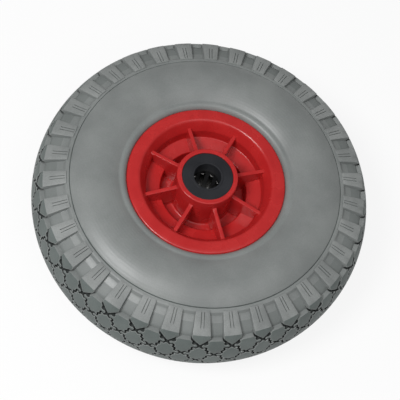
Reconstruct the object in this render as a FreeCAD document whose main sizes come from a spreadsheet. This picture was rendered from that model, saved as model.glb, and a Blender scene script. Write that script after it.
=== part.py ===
"""Wheelbarrow wheel: a one-piece foam tyre on a moulded rim with a roller bearing in its hub.

Frame: origin at the centre of the wheel, +Z along the wheel's axis, millimetres.
The wheel is the same above and below its middle plane, z = 0.
"""

import FreeCAD, Part
import os

import Sketcher

SHEET = "Dimensions"

# Driving dimensions: alias, millimetres (counts and degrees where the alias says so).
# A depth is measured inwards from the crown or a face, and a drop towards the middle plane from
# the tyre's side or the hub's face. The turns are those of the first roller and lug from +X.
DRIVING = (
    ("wheel_diameter", 260.0),
    ("tyre_width", 78.0),
    ("hub_length", 75.0),
    ("axle_diameter", 20.0),
    ("hub_wall", 3.7),
    ("hub_edge", 0.6),
    ("rim_wall", 3.2),
    ("web_thickness", 7.0),
    ("well_radius", 33.2),
    ("shelf_inner_height", 13.8),
    ("shelf_outer_height", 16.0),
    ("barrel_radius", 45.0),
    ("barrel_mouth_height", 24.0),
    ("flange_root_width", 1.6),
    ("flange_inner_radius", 50.0),
    ("flange_height", 32.9),
    ("flange_depth", 6.5),
    ("flange_fall", 0.8),
    ("flange_radius", 60.2),
    ("lip_round", 2.8),
    ("lip_skirt", 1.1),
    ("rib_count", 8.0),
    ("rib_thickness", 2.6),
    ("rib_hub_drop", 8.7),
    ("rib_barrel_height", 26.8),
    ("bead_roll_width", 5.3),
    ("bead_roll_drop", 4.2),
    ("ledge_width", 2.5),
    ("ledge_inner_drop", 6.5),
    ("ledge_outer_drop", 7.2),
    ("ridge_depth", 24.6),
    ("ridge_groove", 0.6),
    ("channel_start_drop", 9.0),
    ("channel_bend_depth", 18.0),
    ("channel_bend_drop", 13.0),
    ("channel_end_depth", 7.8),
    ("lug_start_drop", 8.4),
    ("shoulder_depth", 5.9),
    ("shoulder_drop", 12.7),
    ("row_depth", 2.1),
    ("row_drop", 22.6),
    ("tread_depth", 2.9),
    ("block_corner_gap", 0.85),
    ("block_end_drop", 17.0),
    ("block_end_width", 8.6),
    ("block_root_depth", 0.8),
    ("lug_count", 34.0),
    ("lug_inner_width", 10.3),
    ("lug_outer_width", 13.4),
    ("tread_turn_degrees", 1.07),
    ("roller_count", 10.0),
    ("roller_diameter", 5.0),
    ("roller_play", 0.1),
    ("roller_end_play", 0.3),
    ("roller_turn_degrees", 16.0),
    ("axle_play", 0.02),
    ("race_play", 0.03),
    ("cage_inner_radius", 10.9),
    ("cage_race_gap", 0.45),
    ("cage_end_ring", 4.7),
    ("cage_end_play", 0.4),
    ("cap_diameter", 38.6),
    ("cap_seat_gap", 0.1),
    ("cap_seat_depth", 3.2),
    ("cap_recess", 0.5),
    ("cap_bore_play", 0.2),
    ("cap_lip_width", 1.3),
    ("spigot_length", 8.9),
    ("spigot_gap", 0.1),
)

FULL_TURN = 360.0

# Chords in each round stretch of a turned section.
SIDE_CHORD_COUNT = 4
BEAD_CHORD_COUNT = 3
LIP_CHORD_COUNT = 3


def make_sheet(doc):
    """Puts the driving dimensions into the document's sheet, one aliased cell each."""
    sheet = doc.addObject("Spreadsheet::Sheet", SHEET)
    for row, (alias, value) in enumerate(DRIVING, start=1):
        sheet.set(f"A{row}", alias)
        sheet.set(f"B{row}", str(value))
        sheet.setAlias(f"B{row}", alias)
    doc.recompute()
    return sheet


def size(name):
    """The expression that reads one named cell."""
    return f"{SHEET}.{name}"


def derived_sizes():
    """Expressions for the sizes that follow from the driving ones."""
    crown = f"({size('wheel_diameter')} / 2)"
    side = f"({size('tyre_width')} / 2)"
    face = f"({size('hub_length')} / 2)"
    pin = f"({size('axle_diameter')} / 2 + {size('axle_play')})"
    roller = size("roller_diameter")
    seat_floor = f"({face} - {size('cap_seat_depth')})"
    spigot_end = f"({seat_floor} - {size('spigot_length')})"
    cage_half = f"({spigot_end} - {size('cage_end_play')})"
    window_half = f"({cage_half} - {size('cage_end_ring')})"
    lip_height = f"({size('flange_height')} - {size('flange_fall')})"
    return {
        "crown": crown,
        "side": side,
        "face": face,
        "pitch": f"({pin} + {roller} / 2)",
        "race": f"({pin} + {roller} + {size('race_play')})",
        "hub": f"({size('cap_diameter')} / 2 + {size('hub_wall')})",
        "seat": f"({size('cap_diameter')} / 2 + {size('cap_seat_gap')})",
        "seat_floor": seat_floor,
        "spigot_end": spigot_end,
        "cage_half": cage_half,
        "window_half": window_half,
        "roller_half": f"({window_half} - {size('roller_end_play')})",
        "cap_bore": f"({size('axle_diameter')} / 2 + {size('cap_bore_play')})",
        "half_pitch": f"({crown} * sin(180 / {size('lug_count')}))",
        "flat": f"({crown} * cos(180 / {size('lug_count')}))",
        "lip_height": lip_height,
        "lip_start": f"({lip_height} - {size('lip_round')})",
        "flange_root": f"({size('flange_height')} - {size('flange_depth')})",
        "ridge": f"({crown} - {size('ridge_depth')})",
        "row": f"({side} - {size('row_drop')})",
        "shoulder": f"({side} - {size('shoulder_drop')})",
        "block_end": f"({side} - {size('block_end_drop')})",
    }


DERIVED = derived_sizes()


def origin_feature(body, role):
    """The body's own origin plane or axis with this role."""
    for feature in body.Origin.OriginFeatures:
        if feature.Role == role:
            return feature
    raise ValueError(f"{body.Name} has no origin feature {role}")


def new_body(doc, name):
    """An empty body labelled with its node name."""
    body = doc.addObject("PartDesign::Body", name)
    body.Label = name
    return body


def new_sketch(body, name, plane, lift=None):
    """An empty sketch on one of the body's origin planes, or lifted off it along its normal."""
    sketch = body.newObject("Sketcher::SketchObject", name)
    sketch.AttachmentSupport = [(origin_feature(body, plane), "")]
    sketch.MapMode = "FlatFace"
    if lift:
        sketch.setExpression("AttachmentOffset.Base.z", lift)
    return sketch


def number(owner, expression):
    """The value that an expression has now."""
    value = owner.evalExpression(expression)
    return float(getattr(value, "Value", value))


def add_outline(sketch, corners):
    """Adds one closed outline and ties every corner to its (across, up) expressions."""
    points = [
        FreeCAD.Vector(number(sketch, across), number(sketch, up), 0)
        for across, up in corners
    ]
    base = sketch.GeometryCount
    for i, point in enumerate(points):
        following = points[(i + 1) % len(points)]
        sketch.addGeometry(Part.LineSegment(point, following), False)
    for i, (across, up) in enumerate(corners):
        edge, following = base + i, base + (i + 1) % len(points)
        sketch.addConstraint(Sketcher.Constraint("Coincident", edge, 2, following, 1))
        for kind, value, expression in (
            ("DistanceX", points[i].x, across),
            ("DistanceY", points[i].y, up),
        ):
            index = sketch.addConstraint(Sketcher.Constraint(kind, edge, 1, value))
            sketch.setExpression(f"Constraints[{index}]", expression)


def below(corners):
    """The same corners on the other side of the middle plane."""
    return [(across, f"-({up})") for across, up in corners]


def both_sides(half):
    """A closed outline from the half of it above the middle plane.

    The half runs outwards from the middle plane and back to it. A first corner at height "0"
    lies on that plane, so it isn't repeated.
    """
    shared = 1 if half[0][1] == "0" else 0
    return half + below(reversed(half[shared:]))


def bend(along, across, chords):
    """Steps on an arc that leaves a point in one direction and ends so far along and across it.

    Returns the (along, across) expressions of the corners between the arc's two ends.
    """
    radius = f"((({along}) ^ 2 + ({across}) ^ 2) / (2 * ({across})))"
    turn = f"(2 * atan(({across}) / ({along})))"
    return [
        (f"{radius} * sin({turn} * {i} / {chords})", f"{radius} * (1 - cos({turn} * {i} / {chords}))")
        for i in range(1, chords)
    ]


def upright_bend(start, end, chords):
    """Corners between two points of a section, on an arc that leaves the first one upright."""
    along, across = f"{end[1]} - {start[1]}", f"{end[0]} - {start[0]}"
    return [
        (f"{start[0]} + {aside}", f"{start[1]} + {ahead}")
        for ahead, aside in bend(along, across, chords)
    ]


def level_bend(start, end, chords):
    """Corners between two points of a section, on an arc that leaves the first one level."""
    along, across = f"{end[0]} - {start[0]}", f"{end[1]} - {start[1]}"
    return [
        (f"{start[0]} + {ahead}", f"{start[1]} + {aside}")
        for ahead, aside in bend(along, across, chords)
    ]


def revolve(body, name, corners):
    """A full turn of an outline about the wheel's axis."""
    sketch = new_sketch(body, f"{name}_section", "XZ_Plane")
    add_outline(sketch, corners)
    turned = body.newObject("PartDesign::Revolution", name)
    turned.Profile = sketch
    turned.ReferenceAxis = (sketch, ["V_Axis"])
    turned.Angle = FULL_TURN
    return turned


def pad(body, name, plane, outlines, length, midplane):
    """A straight pad of one or more outlines."""
    sketch = new_sketch(body, f"{name}_outline", plane)
    for corners in outlines:
        add_outline(sketch, corners)
    block = body.newObject("PartDesign::Pad", name)
    block.Profile = sketch
    block.Midplane = midplane
    block.setExpression("Length", length)
    return block


def polar(body, name, originals, count):
    """Repeats features, or the whole body if none are given, evenly round the wheel's axis."""
    body.Document.recompute()
    pattern = body.newObject("PartDesign::PolarPattern", name)
    if originals:
        pattern.Originals = originals
    else:
        pattern.TransformMode = "Whole shape"
    pattern.Axis = (origin_feature(body, "Z_Axis"), [""])
    pattern.Angle = FULL_TURN
    pattern.setExpression("Occurrences", count)
    body.Tip = pattern
    return pattern


def rim_bond_half():
    """The surface that the foam is moulded on, from the middle plane out to the flange's edge."""
    wall = size("rim_wall")
    barrel = f"({size('barrel_radius')} + {wall})"
    under_shelf = f"({size('shelf_inner_height')} - {wall})"
    return [
        (f"({size('well_radius')} + {wall})", under_shelf),
        (barrel, under_shelf),
        (f"({barrel} + {size('flange_root_width')})", DERIVED["flange_root"]),
        (size("flange_radius"), f"({DERIVED['lip_start']} - {size('lip_skirt')})"),
    ]


def make_rim(doc):
    """The moulded rim: hub tube, web, stepped barrel, two flanges and the ribs between them."""
    body = new_body(doc, "rim")
    web = f"{size('web_thickness')} / 2"
    hub = DERIVED["hub"]
    lip_side = (size("flange_radius"), DERIVED["lip_start"])
    lip_top = (f"({size('flange_radius')} - {size('lip_round')})", DERIVED["lip_height"])
    half = (
        rim_bond_half()
        + [lip_side]
        + upright_bend(lip_side, lip_top, LIP_CHORD_COUNT)
        + [
            lip_top,
            (size("flange_inner_radius"), size("flange_height")),
            (size("barrel_radius"), size("barrel_mouth_height")),
            (size("barrel_radius"), size("shelf_outer_height")),
            (size("well_radius"), size("shelf_inner_height")),
            (size("well_radius"), web),
            (hub, web),
            (hub, f"{DERIVED['face']} - {size('hub_edge')}"),
            (f"{hub} - {size('hub_edge')}", DERIVED["face"]),
            (DERIVED["seat"], DERIVED["face"]),
            (DERIVED["seat"], DERIVED["seat_floor"]),
            (DERIVED["race"], DERIVED["seat_floor"]),
        ]
    )
    revolve(body, "rim_shell", both_sides(half))
    rib = pad(body, "rib", "XZ_Plane", rib_outlines(), size("rib_thickness"), True)
    polar(body, "ribs", [rib], size("rib_count"))
    return body


def rib_outlines():
    """One rib's outline on each side of the web, its edges buried in the walls that it joins."""
    bury = f"{size('rim_wall')} / 2"
    hub = f"{DERIVED['hub']} - {bury}"
    half = [
        (hub, f"{DERIVED['face']} - {size('rib_hub_drop')}"),
        (hub, f"{size('web_thickness')} / 2 - {bury}"),
        (f"{size('well_radius')} + {bury}", f"{size('web_thickness')} / 2 - {bury}"),
        (f"{size('well_radius')} + {bury}", f"{size('shelf_inner_height')} - {bury}"),
        (f"{size('barrel_radius')} + {bury}", f"{size('shelf_outer_height')} - {bury}"),
        (f"{size('barrel_radius')} + {bury}", size("rib_barrel_height")),
    ]
    return half, below(half)


def make_carcass(doc):
    """The foam under the tread: bonded face, bulging sides, ledges and the channels' floors."""
    body = new_body(doc, "carcass")
    crown, side = DERIVED["crown"], DERIVED["side"]
    deep = size("tread_depth")
    groove = size("ridge_groove")
    bond = rim_bond_half()
    ledge_radius = f"({DERIVED['ridge']} - {size('ledge_width')})"
    roll_radius = f"({size('flange_radius')} + {size('bead_roll_width')})"
    ledge = (ledge_radius, f"({side} - {size('ledge_inner_drop')})")
    top = (f"(({ledge_radius} + {roll_radius}) / 2)", side)
    roll = (roll_radius, f"({side} - {size('bead_roll_drop')})")
    floor = [
        (f"{crown} - {deep}", "0"),
        (f"{crown} - {size('row_depth')} - {deep}", DERIVED["row"]),
        (f"{crown} - {size('channel_end_depth')}", DERIVED["block_end"]),
        (f"{crown} - {size('channel_bend_depth')}", f"{side} - {size('channel_bend_drop')}"),
        (f"{DERIVED['ridge']} - {groove} / 2", f"{side} - {size('channel_start_drop')}"),
        (f"{DERIVED['ridge']} - {groove}", f"{side} - {size('ledge_outer_drop')}"),
    ]
    outer_side = [ledge] + level_bend(top, ledge, SIDE_CHORD_COUNT)[::-1]
    inner_side = [top] + level_bend(top, roll, SIDE_CHORD_COUNT)
    bead = [roll] + upright_bend(bond[-1], roll, BEAD_CHORD_COUNT)[::-1]
    revolve(body, "carcass_shell", both_sides(floor + outer_side + inner_side + bead + bond[::-1]))
    return body


def tread_section():
    """The flat outer faces of a tread block in section, from the middle plane to the shoulder."""
    flat = DERIVED["flat"]
    return [
        (flat, "0"),
        (f"({flat} - {size('row_depth')})", DERIVED["row"]),
        (f"({flat} - {size('shoulder_depth')})", DERIVED["shoulder"]),
    ]


def turn_body(body, degrees):
    """Turns a body about the wheel's axis."""
    body.Placement = FreeCAD.Placement(FreeCAD.Vector(), FreeCAD.Rotation(FreeCAD.Vector(0, 0, 1), 0))
    body.setExpression("Placement.Rotation.Angle", degrees)


def block_half_width():
    """Half the width of a tread block between the points where the grooves cross."""
    return f"({DERIVED['half_pitch']} - {size('block_corner_gap')})"


def cut_round(body, name, plane, outlines, lift, length, midplane):
    """Cuts the outlines away, outwards from a lifted plane or to both sides of it."""
    sketch = new_sketch(body, f"{name}_outline", plane, lift)
    for corners in outlines:
        add_outline(sketch, corners)
    pocket = body.newObject("PartDesign::Pocket", name)
    pocket.Profile = sketch
    pocket.Midplane = midplane
    pocket.Reversed = not midplane
    pocket.setExpression("Length", length)
    return pocket


def make_lugs(doc):
    """Shoulder lugs: flat-faced slabs down the side, tapered, each cut to a point at the crown."""
    body = new_body(doc, "lugs")
    _, row, shoulder = tread_section()
    start = (DERIVED["ridge"], f"({DERIVED['side']} - {size('lug_start_drop')})")
    section = [row, shoulder, start, (DERIVED["ridge"], DERIVED["row"])]
    outer_width = size("lug_outer_width")
    pad(body, "lug_slab", "XZ_Plane", [section, below(section)], outer_width, True)
    narrow, wide = f"({size('lug_inner_width')} / 2)", f"({outer_width} / 2)"
    taper = [
        (DERIVED["ridge"], narrow),
        (DERIVED["crown"], wide),
        (DERIVED["crown"], outer_width),
        (DERIVED["ridge"], outer_width),
    ]
    cut_round(body, "lug_taper", "XY_Plane", [taper, below(taper)], None, size("tyre_width"), True)
    run = f"({block_half_width()} - {size('block_end_width')} / 2)"
    slope = f"(({DERIVED['block_end']} - {DERIVED['row']}) / {run})"
    point = f"({DERIVED['row']} + {size('block_corner_gap')})"
    high = f"({point} + {outer_width} * {slope})"
    between = [
        ("0", point),
        (f"-{outer_width}", high),
        (f"-{outer_width}", f"-{high}"),
        ("0", f"-{point}"),
        (outer_width, f"-{high}"),
        (outer_width, high),
    ]
    reach = f"{DERIVED['crown']} - {DERIVED['ridge']}"
    cut_round(body, "lug_point", "YZ_Plane", [between], DERIVED["ridge"], reach, False)
    polar(body, "lug_ring", [], size("lug_count"))
    turn_body(body, size("tread_turn_degrees"))
    return body


def make_blocks(doc, name, outlines, turn):
    """A ring of flat-faced tread blocks, rooted inside the carcass."""
    body = new_body(doc, name)
    root = f"({DERIVED['crown']} - {size('channel_end_depth')} - {size('block_root_depth')})"
    section = both_sides(tread_section() + [(root, DERIVED["shoulder"])])
    pad(body, f"{name}_slab", "XZ_Plane", [section], f"2 * {DERIVED['half_pitch']}", True)
    wide, tall = DERIVED["crown"], DERIVED["side"]
    around = [(wide, tall), (f"-{wide}", tall), (f"-{wide}", f"-{tall}"), (wide, f"-{tall}")]
    reach = f"{DERIVED['crown']} - {root}"
    cut_round(body, f"{name}_cut", "YZ_Plane", [around] + outlines, root, reach, False)
    polar(body, f"{name}_ring", [], size("lug_count"))
    turn_body(body, turn)
    return body


def make_crown_blocks(doc):
    """Diamond blocks on the middle plane, in line with the lugs."""
    wide = block_half_width()
    tall = f"({DERIVED['row']} - {size('block_corner_gap')})"
    diamond = [(wide, "0"), ("0", tall), (f"-{wide}", "0"), ("0", f"-{tall}")]
    return make_blocks(doc, "crown_blocks", [diamond], size("tread_turn_degrees"))


def make_side_blocks(doc):
    """Blocks between the lugs: pointed at the middle plane and cut square at the channel."""
    wide = block_half_width()
    end = f"({size('block_end_width')} / 2)"
    upper = [
        ("0", size("block_corner_gap")),
        (wide, DERIVED["row"]),
        (end, DERIVED["block_end"]),
        (f"-{end}", DERIVED["block_end"]),
        (f"-{wide}", DERIVED["row"]),
    ]
    turn = f"{size('tread_turn_degrees')} + 180 / {size('lug_count')}"
    return make_blocks(doc, "side_blocks", [upper, below(upper)], turn)


def make_tyre(doc):
    """The foam tyre: carcass and tread are one moulding."""
    tyre = doc.addObject("Part::MultiFuse", "tyre")
    tyre.Shapes = [make_carcass(doc), make_lugs(doc), make_crown_blocks(doc), make_side_blocks(doc)]
    tyre.Label = "tyre"
    return tyre


def make_roller_cage(doc):
    """The cage: a sleeve whose round windows wrap the rollers and leave both faces open."""
    body = new_body(doc, "roller_cage")
    outer = f"({DERIVED['race']} - {size('cage_race_gap')})"
    half = DERIVED["cage_half"]
    corners = [
        (size("cage_inner_radius"), half),
        (outer, half),
        (outer, f"-{half}"),
        (size("cage_inner_radius"), f"-{half}"),
    ]
    revolve(body, "cage_sleeve", corners)
    sketch = new_sketch(body, "window_outline", "XY_Plane")
    centre = FreeCAD.Vector(number(sketch, DERIVED["pitch"]), 0, 0)
    radius = f"{size('roller_diameter')} / 2 + {size('roller_play')}"
    circle = Part.Circle(centre, FreeCAD.Vector(0, 0, 1), number(sketch, radius))
    sketch.addGeometry(circle, False)
    for constraint, expression in (
        (Sketcher.Constraint("Radius", 0, number(sketch, radius)), radius),
        (Sketcher.Constraint("DistanceX", 0, 3, centre.x), DERIVED["pitch"]),
    ):
        index = sketch.addConstraint(constraint)
        sketch.setExpression(f"Constraints[{index}]", expression)
    sketch.addConstraint(Sketcher.Constraint("PointOnObject", 0, 3, -1))
    window = body.newObject("PartDesign::Pocket", "window")
    window.Profile = sketch
    window.Midplane = True
    window.setExpression("Length", f"2 * {DERIVED['window_half']}")
    polar(body, "windows", [window], size("roller_count"))
    turn_body(body, size("roller_turn_degrees"))
    return body


def make_rollers(doc):
    """The steel rollers, evenly round the axle."""
    rollers = []
    count = int(round(number(doc.getObject(SHEET), size("roller_count"))))
    for i in range(count):
        name = f"roller_{i + 1:02d}"
        roller = doc.addObject("Part::Cylinder", name)
        roller.Label = name
        roller.setExpression("Radius", f"{size('roller_diameter')} / 2")
        roller.setExpression("Height", f"2 * {DERIVED['roller_half']}")
        angle = f"({size('roller_turn_degrees')} + 360 * {i} / {size('roller_count')})"
        roller.setExpression("Placement.Base.x", f"{DERIVED['pitch']} * cos({angle})")
        roller.setExpression("Placement.Base.y", f"{DERIVED['pitch']} * sin({angle})")
        roller.setExpression("Placement.Base.z", f"-{DERIVED['roller_half']}")
        rollers.append(roller)
    return rollers


def make_bearing_cap(doc, name, side):
    """A hub cap: a plate in the hub's seat, a raised lip round the bore and a spigot to the cage."""
    body = new_body(doc, name)
    sign = "" if side > 0 else "-"
    bore = DERIVED["cap_bore"]
    lip = f"({bore} + {size('cap_lip_width')})"
    spigot = f"({DERIVED['race']} - {size('spigot_gap')})"
    plate_top = f"({DERIVED['face']} - {size('cap_recess')})"
    half = [
        (bore, DERIVED["spigot_end"]),
        (spigot, DERIVED["spigot_end"]),
        (spigot, DERIVED["seat_floor"]),
        (f"{size('cap_diameter')} / 2", DERIVED["seat_floor"]),
        (f"{size('cap_diameter')} / 2", plate_top),
        (lip, plate_top),
        (lip, DERIVED["face"]),
        (bore, DERIVED["face"]),
    ]
    corners = [(across, f"{sign}({up})") for across, up in half]
    revolve(body, f"{name}_turning", corners)
    return body


def check_document(doc):
    """Stops if any object failed."""
    failed = [
        f"{item.Name}: {item.State}"
        for item in doc.Objects
        if "Invalid" in item.State or "Error" in item.State
    ]
    if failed:
        raise RuntimeError("objects failed: " + "; ".join(failed))


def check_shape(item):
    """Stops unless the sub-part has one sound solid."""
    shape = item.Shape
    if shape.isNull() or not shape.isValid() or len(shape.Solids) != 1:
        raise RuntimeError(f"{item.Label} is not one sound solid: {len(shape.Solids)} solids")


def main():
    doc = FreeCAD.newDocument("wheelbarrow_wheel")
    make_sheet(doc)
    nodes = [make_tyre(doc), make_rim(doc), make_roller_cage(doc)]
    nodes += make_rollers(doc)
    nodes.append(make_bearing_cap(doc, "bearing_cap_front", 1))
    nodes.append(make_bearing_cap(doc, "bearing_cap_back", -1))
    doc.recompute()
    check_document(doc)
    os.makedirs("parts", exist_ok=True)
    for item in nodes:
        check_shape(item)
        item.Shape.exportStep(f"parts/{item.Label}.step")
        print(f"{item.Label}: {item.Shape.Volume / 1000:.1f} cm3")


main()
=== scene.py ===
"""Looks of a foam-tyred wheelbarrow wheel: tyre, moulded rim, hub caps and caged rollers.

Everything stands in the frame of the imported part: +Z along the axle, the wheel on its side.
Sizes are written in millimetres, as a maker gives them, and turned to metres once.
"""

from __future__ import annotations

import logging
import math
from dataclasses import dataclass, field
from enum import Enum

import bpy
from mathutils import Matrix, Vector
from mathutils.geometry import delaunay_2d_cdt

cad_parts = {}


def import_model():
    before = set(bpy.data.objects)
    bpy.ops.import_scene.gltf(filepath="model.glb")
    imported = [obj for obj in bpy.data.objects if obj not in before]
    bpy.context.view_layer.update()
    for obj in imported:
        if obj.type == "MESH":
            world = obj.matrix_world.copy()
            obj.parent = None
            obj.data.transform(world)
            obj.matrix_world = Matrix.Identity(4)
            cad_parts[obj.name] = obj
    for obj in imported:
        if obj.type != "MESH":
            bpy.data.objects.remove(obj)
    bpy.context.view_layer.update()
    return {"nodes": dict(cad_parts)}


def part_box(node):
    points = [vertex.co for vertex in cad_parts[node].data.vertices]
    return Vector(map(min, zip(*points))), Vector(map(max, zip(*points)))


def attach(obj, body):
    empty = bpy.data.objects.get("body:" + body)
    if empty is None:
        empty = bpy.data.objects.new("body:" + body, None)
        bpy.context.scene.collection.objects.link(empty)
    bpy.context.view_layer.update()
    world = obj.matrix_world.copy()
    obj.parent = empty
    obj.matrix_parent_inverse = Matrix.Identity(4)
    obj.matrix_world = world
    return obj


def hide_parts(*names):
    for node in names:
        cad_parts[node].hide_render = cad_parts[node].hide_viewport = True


LOG = logging.getLogger("wheel")
MM = 0.001
FULL_TURN = 2 * math.pi

Point = tuple[float, float]
Place = tuple[float, float, float]
Colour = tuple[float, float, float]
Socket = bpy.types.NodeSocket

# Most of an edge that one corner's round may take, so that two rounds never meet.
EDGE_SHARE = 0.48


class Side(Enum):
    """The two faces of the wheel, by the sign of their heights."""

    FRONT = 1
    BACK = -1


class TyreZone(Enum):
    """Material slots of the tyre, in order."""

    SKIN = 0
    LUG_FACE = 1
    CROWN_AND_CREASE_SHADE = 2
    # Painted shade: near-black colour for the floors of the grooves and the blocks' lower walls.
    GROOVE_SHADE = 3
    CHANNEL_SHADE = 4


def corner_round(
    corner: Point, before: Point, after: Point, radius: float, steps: int
) -> list[Point]:
    """Replaces a corner of an outline by a round.

    Args:
        corner: The corner.
        before: The point ahead of it.
        after: The point behind it.
        radius: Radius of the round, shortened where the edges are too short for it.
        steps: Number of chords in the round.

    Returns:
        The round's points, or the corner itself where nothing can be rounded.
    """
    here = Vector(corner)
    back, ahead = Vector(before) - here, Vector(after) - here
    if radius <= 0 or back.length < 1e-9 or ahead.length < 1e-9:
        return [corner]
    half = back.angle(ahead) / 2
    if half > math.radians(89) or half < math.radians(1):
        return [corner]
    room = min(back.length, ahead.length) * EDGE_SHARE
    reach = min(radius / math.tan(half), room)
    start, end = here + back.normalized() * reach, here + ahead.normalized() * reach
    points = []
    for i in range(steps + 1):
        share = i / steps
        swing = start.lerp(here, share).lerp(here.lerp(end, share), share)
        points.append((swing.x, swing.y))
    return points


def rounded(corners: list[Place], closed: bool, steps: int = 4) -> list[Point]:
    """Rounds an outline whose corners are (across, up, radius).

    Args:
        corners: Corners in order, each with its own radius.
        closed: Whether the last corner joins the first.
        steps: Chords in each round.

    Returns:
        The rounded outline's points.
    """
    count = len(corners)
    points: list[Point] = []
    for i, (across, up, radius) in enumerate(corners):
        if not closed and i in (0, count - 1):
            points.append((across, up))
            continue
        before, after = corners[i - 1][:2], corners[(i + 1) % count][:2]
        points.extend(corner_round((across, up), before, after, radius, steps))
    return points


def leaving_arc(start: Point, end: Point, upright: bool, steps: int) -> list[Point]:
    """An arc that leaves its start level or upright and ends at another point.

    Args:
        start: Where the arc starts.
        end: Where it ends.
        upright: True to leave the start upright, False to leave it level.
        steps: Number of chords.

    Returns:
        The points from start to end, both kept.
    """
    way = (end[0] - start[0], end[1] - start[1])
    along, across = (way[1], way[0]) if upright else way
    radius = (along**2 + across**2) / (2 * across)
    turn = 2 * math.atan(across / along)
    points = []
    for i in range(steps + 1):
        ahead = radius * math.sin(turn * i / steps)
        aside = radius * (1 - math.cos(turn * i / steps))
        shift = (aside, ahead) if upright else (ahead, aside)
        points.append((start[0] + shift[0], start[1] + shift[1]))
    return points


def grown(loop: list[Point], distance: float) -> list[Point]:
    """Moves an anticlockwise loop outwards.

    Args:
        loop: The loop's points.
        distance: How far it moves, negative to move it inwards.

    Returns:
        The moved points, in the same order.
    """
    least_spread = 0.5
    points = []
    count = len(loop)
    for i, (across, up) in enumerate(loop):
        before, after = loop[i - 1], loop[(i + 1) % count]
        first = Vector((up - before[1], before[0] - across)).normalized()
        second = Vector((after[1] - up, across - after[0])).normalized()
        middle = (first + second).normalized()
        stretch = distance / max(middle.dot(first), least_spread)
        points.append((across + middle.x * stretch, up + middle.y * stretch))
    return points


def inside(point: Point, loop: list[Point]) -> bool:
    """Tells whether a point lies inside a loop, by the edges that a ray from it crosses.

    Args:
        point: The point.
        loop: The loop's points in order.

    Returns:
        True where the point is inside.
    """
    across, up = point
    odd = False
    for i, (x0, y0) in enumerate(loop):
        x1, y1 = loop[i - 1]
        if (y0 > up) != (y1 > up) and across < (x1 - x0) * (up - y0) / (y1 - y0) + x0:
            odd = not odd
    return odd


def gap_to(point: Point, loop: list[Point]) -> float:
    """Distance from a point to the nearest corner of a loop."""
    return min(math.hypot(point[0] - x, point[1] - y) for x, y in loop)


@dataclass
class MeshSheet:
    """Vertices and faces on their way to one mesh.

    Attributes:
        vertices: Places in metres.
        faces: The corners of each face, by the vertices' numbers.
        zones: The material index of each face.
    """

    vertices: list[Place] = field(default_factory=list)
    faces: list[list[int]] = field(default_factory=list)
    zones: list[int] = field(default_factory=list)

    def add_vertices(self, points: list[Place]) -> list[int]:
        """Adds vertices.

        Args:
            points: Their places in millimetres.

        Returns:
            Their numbers.
        """
        start = len(self.vertices)
        self.vertices.extend((x * MM, y * MM, z * MM) for x, y, z in points)
        return list(range(start, len(self.vertices)))

    def add_face(self, corners: list[int], zone: int, flip: bool = False) -> None:
        """Adds one face, turned over where asked."""
        self.faces.append(corners[::-1] if flip else corners)
        self.zones.append(zone)

    def bridge(self, lower: list[int], upper: list[int], zone: int, flip: bool = False) -> None:
        """Joins two closed loops of equal length by a band of quads.

        Args:
            lower: Vertex numbers of the first loop.
            upper: Vertex numbers of the second loop.
            zone: Material index of the band.
            flip: Whether the faces are turned over.
        """
        count = len(lower)
        for i in range(count):
            j = (i + 1) % count
            self.add_face([lower[i], lower[j], upper[j], upper[i]], zone, flip)

    def revolve(self, section: list[Point], segments: int, zones: list[int], closed: bool) -> None:
        """Turns a section of (radius, height) points about the axle.

        Args:
            section: The section's points in order.
            segments: Number of steps round the axle.
            zones: Material index of the band after each point.
            closed: Whether the last point joins the first.
        """
        rings = []
        for i in range(segments):
            angle = FULL_TURN * i / segments
            along, aside = math.cos(angle), math.sin(angle)
            rings.append(self.add_vertices([(r * along, r * aside, z) for r, z in section]))
        last = len(section) if closed else len(section) - 1
        for i in range(segments):
            here, there = rings[i], rings[(i + 1) % segments]
            for k in range(last):
                m = (k + 1) % len(section)
                self.add_face([here[k], there[k], there[m], here[m]], zones[k])

    def to_object(
        self, name: str, materials: list[bpy.types.Material], sharp: float
    ) -> bpy.types.Object:
        """Makes the mesh object.

        Args:
            name: Name of the object.
            materials: Its materials, in the order of the zones.
            sharp: Edges that turn by more than this many degrees stay sharp.

        Returns:
            The object, linked to the scene.
        """
        mesh = bpy.data.meshes.new(name)
        mesh.from_pydata(self.vertices, [], self.faces)
        mesh.validate()
        for material in materials:
            mesh.materials.append(material)
        mesh.polygons.foreach_set("material_index", self.zones)
        mesh.polygons.foreach_set("use_smooth", [True] * len(mesh.polygons))
        mesh.set_sharp_from_angle(angle=math.radians(sharp))
        mesh.update()
        piece = bpy.data.objects.new(name, mesh)
        bpy.context.scene.collection.objects.link(piece)
        return piece


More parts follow.
